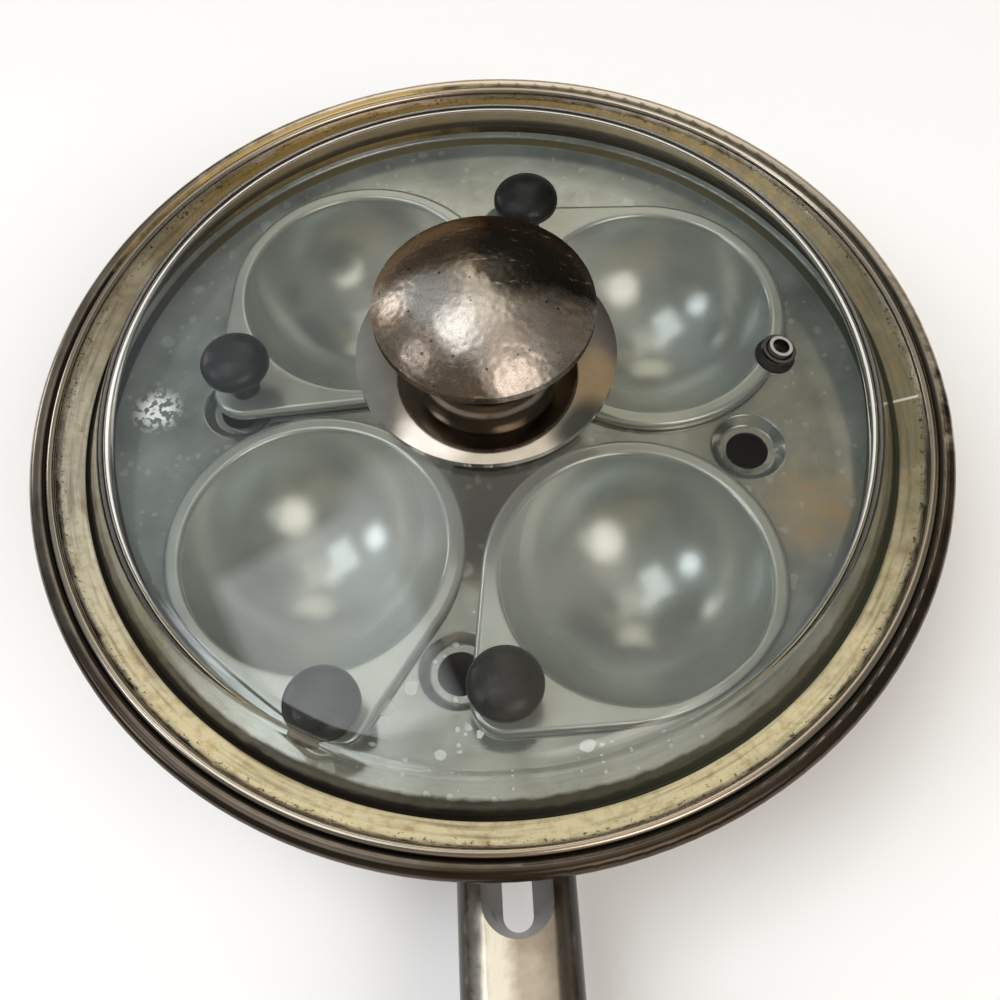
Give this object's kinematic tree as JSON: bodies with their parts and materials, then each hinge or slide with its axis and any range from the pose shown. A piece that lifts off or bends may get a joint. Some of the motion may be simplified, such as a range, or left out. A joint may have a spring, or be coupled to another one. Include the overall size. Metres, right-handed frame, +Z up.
{
  "type": "egg poacher pan",
  "caption": "Steel egg poacher pan with a forked handle, a tray that holds lift-out cups with black grips, and a vented glass lid with a steel knob.",
  "frame": {"origin": "on the pan's own axis, at the flat face of the base that it stands on", "axes": "+Z up along the pan's axis, the handle points along -Y, +X towards the lid's vent"},
  "size_m": [0.246, 0.4096, 0.1153],
  "materials": {
    "pan_steel": "satin",
    "base_steel": "satin",
    "core_aluminium": "satin",
    "handle_steel": "satin",
    "tray_steel": "polished",
    "cup_aluminium": "satin",
    "grip_phenolic": "satin",
    "lid_glass": "polished",
    "ring_steel": "stained satin",
    "knob_steel": "polished, scuffed",
    "fastener_steel": "satin",
    "seal_silicone": "matt"
  },
  "bodies": {
    "pan": {"pan_body": "pan_steel", "base_core": "core_aluminium", "base_cap": "base_steel", "handle_top": "handle_steel", "handle_base": "handle_steel", "handle_saddle": "handle_steel"},
    "tray": {"tray": "tray_steel"},
    "lid": {"lid_glass": "lid_glass", "lid_ring": "ring_steel", "knob_seal": "seal_silicone", "knob_plate": "knob_steel", "knob_neck": "knob_steel", "knob_dome": "knob_steel", "knob_nut": "fastener_steel", "under_seal": "seal_silicone", "under_washer": "fastener_steel", "knob_screw": "fastener_steel", "vent_eyelet": "fastener_steel", "vent_washer": "seal_silicone"},
    "cup_1": {"cup_1": "cup_aluminium", "grip_1": "grip_phenolic", "grip_screw_1": "fastener_steel"},
    "cup_2": {"cup_2": "cup_aluminium", "grip_2": "grip_phenolic", "grip_screw_2": "fastener_steel"},
    "cup_3": {"cup_3": "cup_aluminium", "grip_3": "grip_phenolic", "grip_screw_3": "fastener_steel"},
    "cup_4": {"cup_4": "cup_aluminium", "grip_4": "grip_phenolic", "grip_screw_4": "fastener_steel"}
  },
  "joints": [
    {"name": "tray_lift", "type": "slide", "parent": "pan", "child": "tray", "axis": [0, 0, 1], "range_m": [0, 0.12]},
    {"name": "lid_lift", "type": "slide", "parent": "tray", "child": "lid", "axis": [0, 0, 1], "range_m": [0, 0.25]},
    {"name": "cup_1_lift", "type": "slide", "parent": "tray", "child": "cup_1", "axis": [0, 0, 1], "range_m": [0, 0.07]},
    {"name": "cup_2_lift", "type": "slide", "parent": "tray", "child": "cup_2", "axis": [0, 0, 1], "range_m": [0, 0.07]},
    {"name": "cup_3_lift", "type": "slide", "parent": "tray", "child": "cup_3", "axis": [0, 0, 1], "range_m": [0, 0.07]},
    {"name": "cup_4_lift", "type": "slide", "parent": "tray", "child": "cup_4", "axis": [0, 0, 1], "range_m": [0, 0.07]}
  ],
  "couplings": [
    {"joint": "cup_1_lift", "follows": "lid_lift", "ratio": 0.28},
    {"joint": "cup_2_lift", "follows": "lid_lift", "ratio": 0.28},
    {"joint": "cup_3_lift", "follows": "lid_lift", "ratio": 0.28},
    {"joint": "cup_4_lift", "follows": "lid_lift", "ratio": 0.28}
  ]
}
